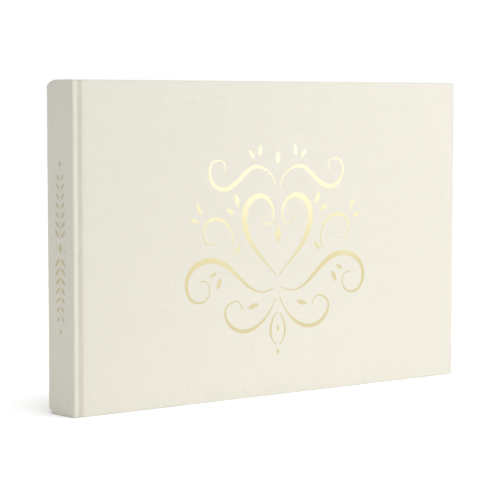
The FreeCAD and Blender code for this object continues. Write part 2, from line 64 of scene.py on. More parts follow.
def millimetres(node):
    """The lowest and the highest corner of a CAD node, in millimetres."""
    low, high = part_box(node)
    return low / MM, high / MM


# --- places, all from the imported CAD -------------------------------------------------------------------

cover_low, cover_high = millimetres("back_cover_cloth")
spine_low, spine_high = millimetres("spine_cloth")
pastedown_low, _ = millimetres("back_pastedown")
fold_low, _ = millimetres("back_endpaper_fold")
flyleaf_low, flyleaf_high = millimetres("back_flyleaf")
joint_low, _ = millimetres("back_joint_cloth")
_, flange_high = millimetres("back_mull_flange")

HEIGHT = cover_high.z
SPINE_X = spine_low.x
RIDGE_END_X = spine_high.x
COVER_X = cover_low.x
FORE_X = cover_high.x
OUTER = cover_high.y          # from the middle plane to the outside of a cover
TURN_IN_FACE = cover_low.y    # and to the inside of its turned-in cloth
FOLD_X = fold_low.x
BEND_X = flyleaf_low.x
BLOCK_FORE_X = flyleaf_high.x
BLOCK_LOW_Z, BLOCK_HIGH_Z = flyleaf_low.z, flyleaf_high.z
FLYLEAF_INNER, FLYLEAF_OUTER = flyleaf_low.y, flyleaf_high.y
PASTEDOWN_FACE = pastedown_low.y
SIGNATURES = sum(name.endswith("_fold") and name.startswith("signature") for name in nodes)

TURN_IN = 15.0                # cloth folded over on to the inside of a board
CLOTH = 0.38                  # thickness of the case cloth; 0.4 in CAD
PAPER = 0.18                  # and of a leaf or an endpaper; 0.2 in CAD
HAIR = 0.03                   # gap that keeps a face off the one beside it
COVER_CORNER = 1.5            # of a cover, seen from the front
EDGE_ROUND = 0.5              # cloth bent round a board's edge
SPINE_ROUND = 0.75            # the upright edge between the spine and the ridge
GROOVE_LEFT = RIDGE_END_X - 0.7
GROOVE_FOOT = GROOVE_LEFT + 1.0
GROOVE_FIRST_RISE = 2.2       # width of the steeper part of its rise from the foot
GROOVE_RIGHT = COVER_X + 0.5
GROOVE_DEPTH = 1.9
NEAR_EDGE = [3.0, 7.0, 11.0]  # distances from a cover's edge at which the cloth has a row of points
HEAD_DROP = {FRONT: 0.12, BACK: 2.6}      # how far the spine's end falls towards its corner
HEAD_DROP_RUN = {FRONT: 1.5, BACK: 8.5}   # and over what width of the spine
HEAD_DROP_POWER = 2.5                     # how late in that width the fall comes


def smooth_step(value, low, high):
    """0 below low, 1 above high and a soft slope between them."""
    share = min(1.0, max(0.0, (value - low) / (high - low)))
    return share * share * (3 - 2 * share)


def spread(low, high, count):
    """count values from low to high, both included."""
    return [low + (high - low) * i / (count - 1) for i in range(count)]


# --- making meshes -------------------------------------------------------------------------------------


def finish_mesh(name, shape, material, outward=None):
    """An object from a bmesh in millimetres. outward says which way a face's normal must point."""
    bmesh.ops.remove_doubles(shape, verts=shape.verts, dist=1e-4)
    flat = [f for f in shape.faces if f.calc_area() < 1e-9]
    bmesh.ops.delete(shape, geom=flat, context="FACES")
    bmesh.ops.recalc_face_normals(shape, faces=shape.faces)
    if outward and not outward(shape):
        bmesh.ops.reverse_faces(shape, faces=shape.faces)
    for vertex in shape.verts:
        vertex.co *= MM
    for face in shape.faces:
        face.smooth = True
    for edge in shape.edges:
        edge.smooth = not edge.is_boundary
    mesh = bpy.data.meshes.new(name)
    shape.to_mesh(mesh)
    shape.free()
    piece = bpy.data.objects.new(name, mesh)
    bpy.context.scene.collection.objects.link(piece)
    mesh.materials.append(material)
    return piece


def add_grid(shape, points, uvs):
    """Faces over rows of points, each with its place on the flat cloth or paper, in millimetres."""
    layer = shape.loops.layers.uv.verify()
    made = [[shape.verts.new(p) for p in row] for row in points]
    for i in range(len(made) - 1):
        for j in range(len(made[i]) - 1):
            corners = [(i, j), (i + 1, j), (i + 1, j + 1), (i, j + 1)]
            face = shape.faces.new([made[a][b] for a, b in corners])
            for loop, (a, b) in zip(face.loops, corners):
                loop[layer].uv = Vector(uvs[a][b]) * MM
    return made


def thicken(piece, thickness, offset=-1.0):
    """Gives a sheet its thickness in millimetres: behind its faces, or half on each side with offset 0."""
    solid = piece.modifiers.new("thickness", "SOLIDIFY")
    solid.thickness = thickness * MM
    solid.offset = offset


# --- materials -----------------------------------------------------------------------------------------


class Nodes:
    """A material's node tree, with short calls for the nodes that are used again and again."""

    def __init__(self, name):
        self.material = bpy.data.materials.new(name)
        self.material.use_nodes = True
        self.tree = self.material.node_tree
        self.shader = self.tree.nodes["Principled BSDF"]

    def add(self, kind, **values):
        node = self.tree.nodes.new(kind)
        for key, value in values.items():
            setattr(node, key, value)
        return node

    def link(self, source, target):
        self.tree.links.new(source, target)

    def feed(self, socket, value):
        if isinstance(value, bpy.types.NodeSocket):
            self.link(value, socket)
        else:
            socket.default_value = value

    def math(self, operation, *values):
        node = self.add("ShaderNodeMath", operation=operation)
        for socket, value in zip(node.inputs, values):
            self.feed(socket, value)
        return node.outputs[0]

    def place(self, source):
        """Coordinates: "UV" in metres over the flat sheet, or "Object" in the book's frame."""
        return self.add("ShaderNodeTexCoord").outputs[source]

    def scaled(self, vector, scale):
        node = self.add("ShaderNodeMapping")
        self.link(vector, node.inputs["Vector"])
        node.inputs["Scale"].default_value = scale
        return node.outputs[0]

    def noise(self, vector, scale, detail=2.0, rough=0.5):
        node = self.add("ShaderNodeTexNoise")
        self.link(vector, node.inputs["Vector"])
        node.inputs["Scale"].default_value = scale
        node.inputs["Detail"].default_value = detail
        node.inputs["Roughness"].default_value = rough
        return node.outputs["Fac"]

    def ramp(self, value, stops):
        node = self.add("ShaderNodeValToRGB")
        elements = node.color_ramp.elements
        while len(elements) < len(stops):
            elements.new(0.5)
        for element, (at, colour) in zip(elements, stops):
            element.position = at
            element.color = (*colour, 1.0)
        self.link(value, node.inputs["Fac"])
        return node.outputs["Color"]

    def mix(self, share, first, second, blend="MIX"):
        node = self.add("ShaderNodeMix", data_type="RGBA", blend_type=blend)
        self.feed(node.inputs["Factor"], share)
        for socket, value in zip((node.inputs[6], node.inputs[7]), (first, second)):
            self.feed(socket, (*value, 1.0) if isinstance(value, tuple) else value)
        return node.outputs[2]

    def bump(self, height, strength, distance, before=None):
        node = self.add("ShaderNodeBump")
        self.link(height, node.inputs["Height"])
        node.inputs["Strength"].default_value = strength
        node.inputs["Distance"].default_value = distance
        if before:
            self.link(before, node.inputs["Normal"])
        return node.outputs[0]

    def set(self, **values):
        for name, value in values.items():
            self.feed(self.shader.inputs[name.replace("_", " ")], value)
        return self.material


def weave(nodes_, u, v, pitch):
    """Height of a plain weave, 0 to 1, from coordinates in metres along the two threads."""
    across = nodes_.math("SINE", nodes_.math("MULTIPLY", u, math.pi / pitch))
    along = nodes_.math("SINE", nodes_.math("MULTIPLY", v, math.pi / pitch))
    over = nodes_.math("GREATER_THAN", nodes_.math("MULTIPLY", across, along), 0.0)
    round_warp = nodes_.math("POWER", nodes_.math("ABSOLUTE", across), 0.6)
    round_weft = nodes_.math("POWER", nodes_.math("ABSOLUTE", along), 0.6)
    warp = nodes_.math("MULTIPLY", round_warp, nodes_.math("MULTIPLY_ADD", round_weft, 0.45, 0.55))
    weft = nodes_.math("MULTIPLY", round_weft, nodes_.math("MULTIPLY_ADD", round_warp, 0.45, 0.55))
    top = nodes_.math("MULTIPLY", over, warp)
    rest = nodes_.math("MULTIPLY", nodes_.math("SUBTRACT", 1.0, over), weft)
    return nodes_.math("ADD", top, rest)


CLOTH_PITCH = 0.00034         # metres from thread to thread
GAUZE_PITCH = 0.0006
RIB_PITCH = 0.00011


def cloth_material():
    """Ivory book cloth: a fine plain weave with painted shade between its threads, slubs and mottling. Its
    edges are pale at the foot, a painted reflection of the floor, and grey above, painted shade.
    """
    n = Nodes("ivory_book_cloth")
    uv = n.place("UV")
    parts = n.add("ShaderNodeSeparateXYZ")
    n.link(uv, parts.inputs[0])
    sway = n.noise(uv, 260.0, detail=1.0)
    sway = n.math("MULTIPLY", n.math("SUBTRACT", sway, 0.5), CLOTH_PITCH * 1.2)
    u = n.math("ADD", parts.outputs[0], sway)
    v = n.math("ADD", parts.outputs[1], sway)
    height = weave(n, u, v, CLOTH_PITCH)
    warp_slubs = n.noise(n.scaled(uv, (2400, 60, 1)), 1.0, detail=3.0, rough=0.6)
    weft_slubs = n.noise(n.scaled(uv, (60, 2400, 1)), 1.0, detail=3.0, rough=0.6)
    slubs = n.math("MULTIPLY", n.math("ADD", warp_slubs, weft_slubs), 0.5)
    mottle = n.noise(uv, 38.0, detail=4.0, rough=0.55)
    colour = n.ramp(slubs, [
        (0.34, (0.752, 0.729, 0.636)),
        (0.50, (0.788, 0.765, 0.672)),
        (0.68, (0.818, 0.797, 0.710)),
    ])
    colour = n.mix(n.math("MULTIPLY", mottle, 0.35), colour, (0.772, 0.750, 0.664))
    # Painted shade: the colour darkens between the threads, where the weave sinks.
    painted_weave_shade = n.ramp(height, [(0.0, (0.84, 0.82, 0.77)), (0.55, (1.0, 1.0, 1.0))])
    colour = n.mix(0.55, colour, painted_weave_shade, blend="MULTIPLY")
    rim = n.add("ShaderNodeAttribute", attribute_name="rim")
    height_share = n.add("ShaderNodeAttribute", attribute_name="up")
    # Painted light and shade on the edges: pale at the foot as a painted reflection of the floor, greyer
    # towards the head as painted shade, its strength varied by the mottle.
    edge_reflection_and_shade = n.mix(height_share.outputs["Fac"], (0.850, 0.832, 0.760), (0.560, 0.550, 0.490))
    painted_edge_share = n.math("MULTIPLY", rim.outputs["Fac"], n.math("MULTIPLY_ADD", mottle, 0.6, 0.35))
    colour = n.mix(painted_edge_share, colour, edge_reflection_and_shade)
    neps = n.add("ShaderNodeTexVoronoi", feature="F1")
    n.link(n.scaled(uv, (45, 45, 1)), neps.inputs["Vector"])
    nep = n.math("LESS_THAN", neps.outputs["Distance"], n.math("MULTIPLY", n.noise(uv, 900.0), 0.035))
    colour = n.mix(n.math("MULTIPLY", nep, 0.35), colour, (0.42, 0.40, 0.34))
    normal = n.bump(slubs, 0.25, 0.00012)
    normal = n.bump(height, 0.55, 0.00007, before=normal)
    rough = n.math("MULTIPLY_ADD", mottle, 0.12, 0.70)
    return n.set(Base_Color=colour, Roughness=rough, Normal=normal, Sheen_Weight=0.18,
                 Sheen_Roughness=0.45, Specular_IOR_Level=0.28)


def paper_material(name, light, dark, fibre=1.0, fleck=0.0):
    """Uncoated paper: fibres at two scales and a fine tooth."""
    n = Nodes(name)
    uv = n.place("UV")
    cloud = n.noise(uv, 120.0, detail=5.0, rough=0.6)
    fibres = n.noise(n.scaled(uv, (900, 2600, 1)), 1.0, detail=4.0, rough=0.7)
    colour = n.ramp(n.math("ADD", n.math("MULTIPLY", cloud, 0.5), n.math("MULTIPLY", fibres, 0.5)),
                    [(0.36, dark), (0.62, light)])
    if fleck:
        spots = n.add("ShaderNodeTexVoronoi", feature="F1")
        n.link(uv, spots.inputs["Vector"])
        spots.inputs["Scale"].default_value = 420.0
        near = n.math("LESS_THAN", spots.outputs["Distance"], 0.16)
        pick = n.math("GREATER_THAN", n.noise(uv, 90.0), 0.60)
        colour = n.mix(n.math("MULTIPLY", n.math("MULTIPLY", near, pick), fleck), colour,
                       (0.62, 0.52, 0.36))
    normal = n.bump(n.noise(uv, 3800.0 * fibre, detail=3.0), 0.18, 0.00004)
    return n.set(Base_Color=colour, Roughness=0.82, Normal=normal, Specular_IOR_Level=0.25)


def board_material(name, light, dark, scale=900.0):
    """Grey board or kraft paper: pressed pulp with darker fibres, in the book's own coordinates."""
    n = Nodes(name)
    at = n.place("Object")
    pulp = n.noise(n.scaled(at, (1, 2.2, 1)), scale, detail=5.0, rough=0.7)
    cloud = n.noise(at, scale / 12, detail=3.0)
    colour = n.ramp(n.math("ADD", n.math("MULTIPLY", pulp, 0.65), n.math("MULTIPLY", cloud, 0.35)),
                    [(0.34, dark), (0.66, light)])
    normal = n.bump(pulp, 0.35, 0.00008)
    return n.set(Base_Color=colour, Roughness=0.9, Normal=normal, Specular_IOR_Level=0.2)


def gauze_material():
    """Mull: an open gauze stiffened with glue."""
    n = Nodes("mull_gauze")
    parts = n.add("ShaderNodeSeparateXYZ")
    at = n.place("Object")
    n.link(at, parts.inputs[0])
    level = n.math("ADD", parts.outputs[0], parts.outputs[1])
    height = weave(n, level, parts.outputs[2], GAUZE_PITCH)
    colour = n.ramp(height, [(0.10, (0.50, 0.47, 0.40)), (0.45, (0.87, 0.86, 0.80))])
    return n.set(Base_Color=colour, Roughness=0.9, Normal=n.bump(height, 0.6, 0.00015))


def thread_material():
    """Waxed linen thread, twisted."""
    n = Nodes("waxed_linen")
    at = n.place("Object")
    twist = n.add("ShaderNodeTexWave", wave_type="BANDS", bands_direction="DIAGONAL")
    n.link(at, twist.inputs["Vector"])
    twist.inputs["Scale"].default_value = 1400.0
    twist.inputs["Distortion"].default_value = 1.5
    colour = n.ramp(twist.outputs["Fac"], [(0.2, (0.70, 0.66, 0.55)), (0.7, (0.90, 0.88, 0.80))])
    return n.set(Base_Color=colour, Roughness=0.55, Normal=n.bump(twist.outputs["Fac"], 0.4, 0.00005))


def band_material():
    """Headband silk: ivory and old gold stripes over a core, a fine rib across each stripe."""
    n = Nodes("headband_silk")
    parts = n.add("ShaderNodeSeparateXYZ")
    at = n.place("Object")
    n.link(at, parts.inputs[0])
    stripes = n.math("SINE", n.math("MULTIPLY", parts.outputs[1], math.pi / (BAND_STRIPE * MM)))
    ribs = n.math("SINE", n.math("MULTIPLY", parts.outputs[1], math.pi / RIB_PITCH))
    # Painted sheen: lighter streaks along the silk, mixed into its colour.
    painted_silk_sheen = n.noise(n.scaled(at, (300, 4000, 300)), 1.0, detail=2.0)
    colour = n.ramp(n.math("MULTIPLY_ADD", stripes, 0.5, 0.5),
                    [(0.44, (0.88, 0.85, 0.76)), (0.56, (0.58, 0.46, 0.24))])
    colour = n.mix(n.math("MULTIPLY", painted_silk_sheen, 0.25), colour, (0.95, 0.92, 0.84))
    return n.set(Base_Color=colour, Roughness=0.42, Normal=n.bump(ribs, 0.35, 0.00003),
                 Sheen_Weight=0.3, Sheen_Roughness=0.3)


def foil_material(name, tone):
    """Pale gold foil, pressed into the weave. A painted reflection makes it paler towards the head and deeper
    towards the tail.
    """
    n = Nodes(name)
    at = n.place("Object")
    parts = n.add("ShaderNodeSeparateXYZ")
    n.link(at, parts.inputs[0])
    height = weave(n, n.math("ADD", parts.outputs[0], parts.outputs[1]), parts.outputs[2], CLOTH_PITCH)
    # Painted reflection: the colour is paler towards the head and deeper towards the tail, with a cloud of
    # tone that differs at random.
    up = n.math("DIVIDE", parts.outputs[2], HEIGHT * MM)
    cloud = n.noise(at, 55.0, detail=3.0)
    shade = n.math("MULTIPLY_ADD", n.math("SUBTRACT", cloud, 0.5), 0.35, up)
    colour = n.ramp(shade, [
        (0.15, (0.650, 0.575, 0.350)),
        (0.40, (0.665, 0.590, 0.340)),
        (0.58, (0.745, 0.690, 0.465)),
        (0.80, (0.735, 0.665, 0.455)),
    ])
    colour = n.mix(1.0, colour, tone, blend="MULTIPLY")
    grain = n.noise(at, 6000.0, detail=2.0)
    rough = n.math("MULTIPLY_ADD", grain, 0.16, 0.26)
    normal = n.bump(height, 0.12, 0.00003)
    return n.set(Base_Color=colour, Metallic=1.0, Roughness=rough, Normal=normal)


def floor_material():
    """Matt white, with the faintest unevenness."""
    n = Nodes("white_sweep")
    cloud = n.noise(n.place("Object"), 3.0, detail=2.0)
    colour = n.ramp(cloud, [(0.3, (0.96, 0.96, 0.96)), (0.7, (0.98, 0.98, 0.98))])
    return n.set(Base_Color=colour, Roughness=0.9, Specular_IOR_Level=0.1)


BAND_STRIPE = 0.85            # width of one stripe of a headband

cloth = cloth_material()
endpaper = paper_material("ivory_endpaper", (0.780, 0.760, 0.685), (0.735, 0.714, 0.635), fleck=0.10)
leaf_paper = paper_material("leaf_paper", (0.800, 0.788, 0.735), (0.750, 0.737, 0.680), fibre=1.3)
grey_board = board_material("grey_board", (0.46, 0.44, 0.40), (0.30, 0.285, 0.26))
kraft = board_material("kraft_lining", (0.50, 0.36, 0.22), (0.36, 0.25, 0.15), scale=1400.0)
gauze = gauze_material()
linen = thread_material()
silk = band_material()
cover_foil = foil_material("gold_foil", (1.0, 1.0, 1.0))
spine_foil = foil_material("aged_gold_foil", (0.845, 0.85, 0.90))


# --- the cloth of the case -----------------------------------------------------------------------------


def groove(x):
    """How deep the cloth lies in the groove at x: steep beside the spine's ridge, then a gentle rise."""
    fall = smooth_step(x, GROOVE_LEFT, GROOVE_FOOT)
    first_rise = smooth_step(x, GROOVE_FOOT, GROOVE_FOOT + GROOVE_FIRST_RISE)
    rise = 0.75 * first_rise + 0.25 * smooth_step(x, GROOVE_FOOT, GROOVE_RIGHT)
    return GROOVE_DEPTH * fall * (1 - rise)


def spine_drop(y):
    """How far the spine's ends fall at y. The back corners of the spine are rounder than the front ones."""
    side = BACK if y > 0 else FRONT
    run = HEAD_DROP_RUN[side]
    share = max(0.0, abs(y) - (OUTER - run)) / run
    return HEAD_DROP[side] * share ** HEAD_DROP_POWER


def case_columns(side):
    """A level cut through a cloth: outside (x, y), inside (x, y) and how far the ends fall, in order.

    The front cloth starts on the back ridge and takes in the whole spine. The back cloth starts where that
    ridge ends. Both go on to the fore edge.
    """
    columns = []
    inner_x, inner_y = RIDGE_END_X, joint_low.y + HAIR
    flat_end = OUTER - SPINE_ROUND

    def upright_edge(way):
        """From the ridge to the spine's face, on the back for way 1 and on the front for way -1."""
        turned = [((x, way * OUTER), (inner_x, way * inner_y), HEAD_DROP[way])
                  for x in spread(GROOVE_LEFT, SPINE_X + SPINE_ROUND, 4)[:-1]]
        for turn in spread(math.pi / 2, 0.0, 9):
            x = SPINE_X + SPINE_ROUND * (1 - math.cos(turn))
            y = way * (flat_end + SPINE_ROUND * math.sin(turn))
            turned.append(((x, y), (inner_x, way * TURN_IN_FACE), spine_drop(y)))
        return turned

    if side == FRONT:
        columns += upright_edge(BACK)
        for y in spread(flat_end, -flat_end, 31)[1:-1]:
            columns.append(((SPINE_X, y), (inner_x, y * TURN_IN_FACE / flat_end), spine_drop(y)))
        columns += upright_edge(FRONT)[:0:-1]
    for x in spread(GROOVE_LEFT, GROOVE_FOOT, 11) + spread(GROOVE_FOOT, GROOVE_RIGHT, 25)[1:]:
        inner = (max(x, inner_x + 0.1), side * (inner_y if x < COVER_X else TURN_IN_FACE))
        fade = 1 - smooth_step(x, GROOVE_LEFT, COVER_X)
        columns.append(((x, side * (OUTER - groove(x))), inner, HEAD_DROP[side] * fade))
    stations = spread(GROOVE_RIGHT, FORE_X - TURN_IN, 22)[1:]
    stations += [FORE_X - edge for edge in NEAR_EDGE[::-1] + [COVER_CORNER]]
    for x in stations:
        columns.append(((x, side * OUTER), (x, side * TURN_IN_FACE), 0.0))
    return columns


def edge_profile(thick):
    """Round an edge: distances in from the outline and down from the outside, ending on the turn-in."""
    r = min(EDGE_ROUND, 0.45 * thick)
    past_round = r + 0.2
    turns = spread(0.0, math.pi / 2, 7)
    outside = [(COVER_CORNER, 0.0), (past_round, 0.0)]
    outside += [(r * (1 - math.sin(a)), r * (1 - math.cos(a))) for a in turns]
    inside = [(r * (1 - math.cos(a)), thick - r * (1 - math.sin(a))) for a in turns]
    inside += [(edge, thick) for edge in [past_round] + NEAR_EDGE + [TURN_IN]]
    return outside + [(0.0, thick / 2)] + inside


def case_cloth(side):
    """One cloth of the case, as a sheet: the outside, bent round three edges and turned in."""
    columns = case_columns(side)
    rows = [COVER_CORNER] + NEAR_EDGE + spread(TURN_IN, HEIGHT - TURN_IN, 15)
    rows += [HEIGHT - edge for edge in NEAR_EDGE[::-1] + [COVER_CORNER]]
    along = [0.0]
    for (start, _, _), (end, _, _) in zip(columns, columns[1:]):
        along.append(along[-1] + math.dist(start, end))
    last = along[-1]
    shape = bmesh.new()
    rim = shape.verts.layers.float.new("rim")
    up = shape.verts.layers.float.new("up")

    def wander(z, seed):
        """A slow sway of 0.11 mm at most, as a hand-laid cloth has."""
        return 0.07 * math.sin(z / 23.0 + seed) + 0.04 * math.sin(z / 7.3 + 2.1 * seed)

    # the outside face
    points, uvs = [], []
    for (outside, _, drop), u in zip(columns, along):
        x, y = outside
        in_groove = groove(x) / GROOVE_DEPTH
        low, high = drop + COVER_CORNER, HEIGHT - drop - COVER_CORNER
        line = []
        for z in rows:
            share = (z - rows[0]) / (rows[-1] - rows[0])
            level = low + (high - low) * share
            sway = in_groove * wander(level, 1.0 + side) * math.sin(math.pi * share)
            line.append((x, y - side * sway, level))
        points.append(line)
        uvs.append([(u, p[2]) for p in line])
    add_grid(shape, points, uvs)

    # the bent edges and the turn-ins, on a path round the tail, the fore edge and the head
    def bent(spots):
        """Faces along the path. A spot is a point for (inset, depth), a thickness and a place on the flat."""
        grid, flat = [], []
        for spot, thick, place in spots:
            profile = edge_profile(thick)
            run, before, line, uv_line = 0.0, profile[0], [], []
            for at in profile:
                run += math.dist(before, at)
                before = at
                line.append(spot(*at))
                uv_line.append(place(run))
            grid.append(line)
            flat.append(uv_line)
        made = add_grid(shape, grid, flat)
        for (spot, thick, place), verts in zip(spots, made):
            for (inset, depth), vertex in zip(edge_profile(thick), verts):
                # rim and up place the cloth's painted edge light and shade.
                vertex[rim] = 1.0 - smooth_step(inset, 0.0, 0.9)
                vertex[up] = smooth_step(vertex.co.z, 0.0, HEIGHT)

    spots = []

    def end_spot(column, u, head):
        (x, y), (inner_x, inner_y), drop = column
        thick = math.dist((x, y), (inner_x, inner_y))

        def spot(inset, depth):
            share = depth / thick
            level = drop + inset
            px = x + (inner_x - x) * share
            px = min(px, FORE_X - inset) if x > COVER_X else px
            return (px, y + (inner_y - y) * share, HEIGHT - level if head else level)

        def place(run):
            return (u, HEIGHT + run - COVER_CORNER) if head else (u, COVER_CORNER - run)

        return spot, thick, place

    board = OUTER - TURN_IN_FACE

    def fore_spot(z):
        def spot(inset, depth):
            level = min(max(z, inset), HEIGHT - inset)
            return (FORE_X - inset, side * (OUTER - depth), level)
        return spot, board, lambda run: (last + run, z)

    def corner_spot(turn, head):
        def spot(inset, depth):
            left = max(COVER_CORNER - inset, 0.0)
            edge = max(COVER_CORNER, inset)
            x = FORE_X - edge + left * math.sin(turn)
            level = edge - left * math.cos(turn)
            return (x, side * (OUTER - depth), HEIGHT - level if head else level)

        def place(run):
            v = run * math.cos(turn)
            v = HEIGHT - COVER_CORNER + v if head else COVER_CORNER - v
            return (last + run * math.sin(turn), v)

        return spot, board, place

    turns = spread(0.0, math.pi / 2, 9)[1:-1]
    spots += [end_spot(c, u, head=False) for c, u in zip(columns, along)]
    spots += [corner_spot(turn, head=False) for turn in turns]
    spots += [fore_spot(z) for z in rows]
    spots += [corner_spot(turn, head=True) for turn in turns[::-1]]
    spots += [end_spot(c, u, head=True) for c, u in list(zip(columns, along))[::-1]]
    bent(spots)

    def faces_out(made):
        made.faces.ensure_lookup_table()
        face = max(made.faces, key=lambda f: f.calc_area())
        return face.normal.y * side > 0

    name = SIDE_NAMES[side]
    piece = finish_mesh(f"{name}_case_cloth", shape, cloth, faces_out)
    thicken(piece, CLOTH)
    spine = ["spine_cloth"] if side == FRONT else []
    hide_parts(f"{name}_cover_cloth", f"{name}_joint_cloth", *spine)
    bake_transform(piece)


def spine_card():
    """The spine's stiffener, cut to the same rounded corners as the cloth that is turned over its ends."""
    low, high = millimetres("spine_board")
    inset = 0.8
    clear_of_cloth = Vector((0.1, 0.3, 0.0))
    low += clear_of_cloth
    high -= clear_of_cloth
    shape = bmesh.new()
    rows = []
    for y in spread(low.y, high.y, 41):
        top = HEIGHT - inset - spine_drop(y)
        rows.append([(low.x, y, z) for z in spread(HEIGHT - top, top, 9)]
                    + [(high.x, y, z) for z in spread(top, HEIGHT - top, 9)])
    closed = [row + row[:1] for row in rows]
    made = add_grid(shape, closed, [[(p[1], p[2]) for p in row] for row in closed])
    for ring in (made[0], made[-1]):
        shape.faces.new(ring[:-1])
    piece = finish_mesh("spine_card", shape, grey_board)
    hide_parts("spine_board")
    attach(piece, "case_spine")


# --- endpapers -----------------------------------------------------------------------------------------


STEP_HALF = 0.7               # half the width of a soft step in a pasted endpaper
STEP_HEIGHT = 0.34            # how far it sinks where there is no cloth or gauze under it


def step_pair(at):
    """Where a soft step starts and ends."""
    return [at - STEP_HALF, at + STEP_HALF]


def pasted_endpaper(side):
    """The leaf glued inside a cover and across the groove. The turn-ins show through as a soft step."""
    name = SIDE_NAMES[side]
    edge_x = FORE_X - TURN_IN
    xs = spread(FOLD_X + HAIR, COVER_X + 0.6, 15) + [COVER_X + 3.0, -100.0] + step_pair(flange_high.x)
    xs += spread(-70.0, 90.0, 9) + step_pair(edge_x) + [110.0, BLOCK_FORE_X - 0.4, BLOCK_FORE_X]
    zs = [BLOCK_LOW_Z, BLOCK_LOW_Z + 0.4, 9.0] + step_pair(TURN_IN) + spread(30.0, HEIGHT - 30.0, 6)
    zs += step_pair(HEIGHT - TURN_IN) + [HEIGHT - 9.0, BLOCK_HIGH_Z - 0.4, BLOCK_HIGH_Z]
    shape = bmesh.new()
    points = []
    for x in xs:
        line = []
        for z in zs:
            inside = smooth_step(x, *step_pair(flange_high.x))
            inside *= 1 - smooth_step(x, *step_pair(edge_x))
            inside *= smooth_step(z, *step_pair(TURN_IN))
            inside *= 1 - smooth_step(z, *step_pair(HEIGHT - TURN_IN))
            face = PASTEDOWN_FACE - HAIR * (1 - smooth_step(x, COVER_X - 1.0, COVER_X + 0.4))
            line.append((x, side * (face + STEP_HEIGHT * inside), z))
        points.append(line)
    add_grid(shape, points, [[(p[0], p[2]) for p in line] for line in points])

    def faces_block(made):
        made.faces.ensure_lookup_table()
        return made.faces[0].normal.y * side < 0

    piece = finish_mesh(f"{name}_pasted_endpaper", shape, endpaper, faces_block)
    thicken(piece, PAPER)
    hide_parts(f"{name}_pastedown", f"{name}_endpaper_fold")
    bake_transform(piece)


# --- leaves --------------------------------------------------------------------------------------------

CURL = 30.0                   # width of the curve in which a turned leaf leaves the block
CURL_END_X = BEND_X + CURL + 14.0
CURL_FADE = 8.0               # width before CURL_END_X over which the rounding of the curve fades out
LEAVES_IN_HALF = 4            # leaves in half a signature
LEAF_STATIONS = spread(BEND_X, CURL_END_X, 36)[1:] + [-40.0, 0.0, 40.0, 80.0, BLOCK_FORE_X]


def add_leaf(shape, line, rng, trim):
    """A leaf standing on a level line of (x, y). Its free edges wander by up to trim, as cut paper's do."""
    fore = [rng.uniform(-trim, 0.0) for _ in range(3)]
    foot = BLOCK_LOW_Z + rng.uniform(0.0, 0.6 * trim)
    head = BLOCK_HIGH_Z - rng.uniform(0.0, 0.6 * trim)
    levels = spread(foot, head, 3)
    points = [[(x, y, z) for z in levels] for x, y in line]
    points[-1] = [(x + shift, y, z) for (x, y, z), shift in zip(points[-1], fore)]
    add_grid(shape, points, [[(p[0], p[2]) for p in row] for row in points])


def ease_curl(piece):
    """Rounds off the curve of a turned leaf. A closed leaf is straight there, so it stays as it is."""
    group = piece.vertex_groups.new(name="curl")
    for vertex in piece.data.vertices:
        x = vertex.co.x / MM
        weight = smooth_step(x, BEND_X, BEND_X + 4.0)
        weight *= 1 - smooth_step(x, CURL_END_X - CURL_FADE, CURL_END_X)
        group.add([vertex.index], weight, "REPLACE")
    ease = piece.modifiers.new("eased curl", "SMOOTH")
    ease.vertex_group = group.name
    ease.use_z = False
    ease.factor = 0.5
    ease.iterations = 70


def half_signature(number, half):
    """Four leaves of a signature: its front half or its back half, each from the middle of its fold."""
    way = -1 if half == "front" else 1
    node = f"signature_{number}_{half}_leaves"
    low, high = millimetres(node)
    fold, fold_end = millimetres(f"signature_{number}_fold")
    middle = (fold.y + fold_end.y) / 2
    radius = (fold_end.y - fold.y) / 2
    pitch = (high.y - low.y) / LEAVES_IN_HALF
    rng = random.Random(100 * number + way)
    shape = bmesh.new()
    for leaf in range(LEAVES_IN_HALF):
        out = radius - pitch * (LEAVES_IN_HALF - leaf - 0.5)
        turns = spread(0.0, math.pi / 2, 6)
        line = [(fold.x + radius - out * math.cos(t), middle + way * out * math.sin(t)) for t in turns]
        line += [(x, middle + way * out) for x in [-110.0, BEND_X] + LEAF_STATIONS]
        add_leaf(shape, line, rng, trim=0.22)
    piece = finish_mesh(f"signature_{number}_{half}_pages", shape, leaf_paper)
    ease_curl(piece)
    thicken(piece, PAPER, offset=0.0)
    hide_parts(node, f"signature_{number}_fold")
    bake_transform(piece)


def free_endpaper(side):
    """The endpaper's free leaf, from the fold to the fore edge."""
    name = SIDE_NAMES[side]
    shape = bmesh.new()
    out = (FLYLEAF_INNER + FLYLEAF_OUTER) / 2
    line = [(x, side * out) for x in [FOLD_X + HAIR, -112.0, BEND_X] + LEAF_STATIONS]
    add_leaf(shape, line, random.Random(7 + side), trim=0.1)
    piece = finish_mesh(f"{name}_free_endpaper", shape, endpaper)
    ease_curl(piece)
    thicken(piece, PAPER, offset=0.0)
    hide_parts(f"{name}_flyleaf")
    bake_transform(piece)


# --- headbands -----------------------------------------------------------------------------------------


